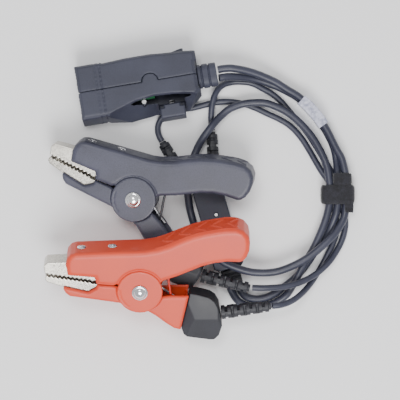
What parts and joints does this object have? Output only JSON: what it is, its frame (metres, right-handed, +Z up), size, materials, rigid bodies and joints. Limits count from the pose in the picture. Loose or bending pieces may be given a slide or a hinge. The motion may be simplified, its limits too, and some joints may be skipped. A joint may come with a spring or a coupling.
{
  "type": "battery tester",
  "caption": "Battery tester lead set with two spring clamps, a wide vehicle plug, a small inline box, and leads held by a marker sleeve and a strap.",
  "frame": {"origin": "centre of the box of everything but the cables, at the table the set lies on", "axes": "+Z up from the table, +Y towards the connector, +X towards the strap at the right end of the cable bundle"},
  "size_m": [0.2235, 0.2112, 0.0628],
  "materials": {
    "clamp_red": "satin moulded",
    "clamp_black": "satin moulded",
    "jaw_steel": "brushed",
    "bright_steel": "bright",
    "spring_steel": "drawn",
    "rubber": "matt",
    "housing": "fine matt texture",
    "cable_jacket": "satin",
    "red_wire": "satin",
    "black_wire": "satin",
    "label": "satin",
    "board": "lacquered",
    "fuse": "clear",
    "strap": "hook and loop"
  },
  "bodies": {
    "root": {"black_lower_shell": "clamp_black", "black_lower_jaw": "jaw_steel", "black_hinge_rivet": "bright_steel", "black_torsion_spring": "spring_steel", "black_boot": "rubber", "black_strain_relief": "rubber", "black_jumper_wire": "black_wire", "red_lower_shell": "clamp_red", "red_lower_jaw": "jaw_steel", "red_hinge_rivet": "bright_steel", "red_torsion_spring": "spring_steel", "red_boot": "rubber", "red_strain_relief": "rubber", "red_jumper_wire": "red_wire", "connector_upper_shell": "housing", "connector_lower_shell": "housing", "connector_pin_insert": "housing", "connector_circuit_board": "board", "connector_lower_spring": "spring_steel", "connector_upper_spring": "spring_steel", "connector_screw": "bright_steel", "connector_strain_relief": "rubber", "box_base": "housing", "box_lid": "housing", "box_circuit_board": "board", "box_fuse": "fuse", "box_lid_screw": "bright_steel", "box_gland": "rubber", "red_lead_relief": "rubber", "black_lead_relief": "rubber", "long_trunk_cable": "cable_jacket", "short_trunk_cable": "cable_jacket", "red_lead": "cable_jacket", "black_lead": "cable_jacket", "red_lead_tail": "cable_jacket", "marker_sleeve": "label", "strap": "strap"},
    "black_upper": {"black_upper_shell": "clamp_black", "black_upper_jaw": "jaw_steel", "black_top_screw_1": "bright_steel", "black_top_screw_2": "bright_steel"},
    "red_upper": {"red_upper_shell": "clamp_red", "red_upper_jaw": "jaw_steel", "red_top_screw_1": "bright_steel", "red_top_screw_2": "bright_steel"},
    "connector_lower_lever_body": {"connector_lower_lever": "housing"},
    "connector_upper_lever_body": {"connector_upper_lever": "housing"}
  },
  "joints": [
    {"name": "black_clamp_hinge", "type": "hinge", "parent": "root", "child": "black_upper", "pos_m": [-0.0168, -0.00182, 0.019], "axis": [0.0967, 0.1872, -0.9776], "range_deg": [0, 16], "stiffness_Nm_per_rad": 1, "springref_deg": -22.92, "deforming": ["black_torsion_spring", "black_jumper_wire"]},
    {"name": "red_clamp_hinge", "type": "hinge", "parent": "root", "child": "red_upper", "pos_m": [-0.013, -0.06472, 0.0328], "axis": [0, 0.4067, -0.9135], "range_deg": [0, 20], "stiffness_Nm_per_rad": 1, "springref_deg": -22.92, "deforming": ["red_torsion_spring", "red_jumper_wire"]},
    {"name": "connector_lower_slide", "type": "slide", "parent": "root", "child": "connector_lower_lever_body", "axis": [-0.1614, 0.9647, -0.2079], "range_m": [0, 0.0015], "stiffness_N_per_m": 600, "springref_m": -0.002, "deforming": ["connector_lower_spring"]},
    {"name": "connector_upper_slide", "type": "slide", "parent": "root", "child": "connector_upper_lever_body", "axis": [0.1614, -0.9647, 0.2079], "range_m": [0, 0.0012], "stiffness_N_per_m": 600, "springref_m": -0.002, "deforming": ["connector_upper_spring"]}
  ]
}
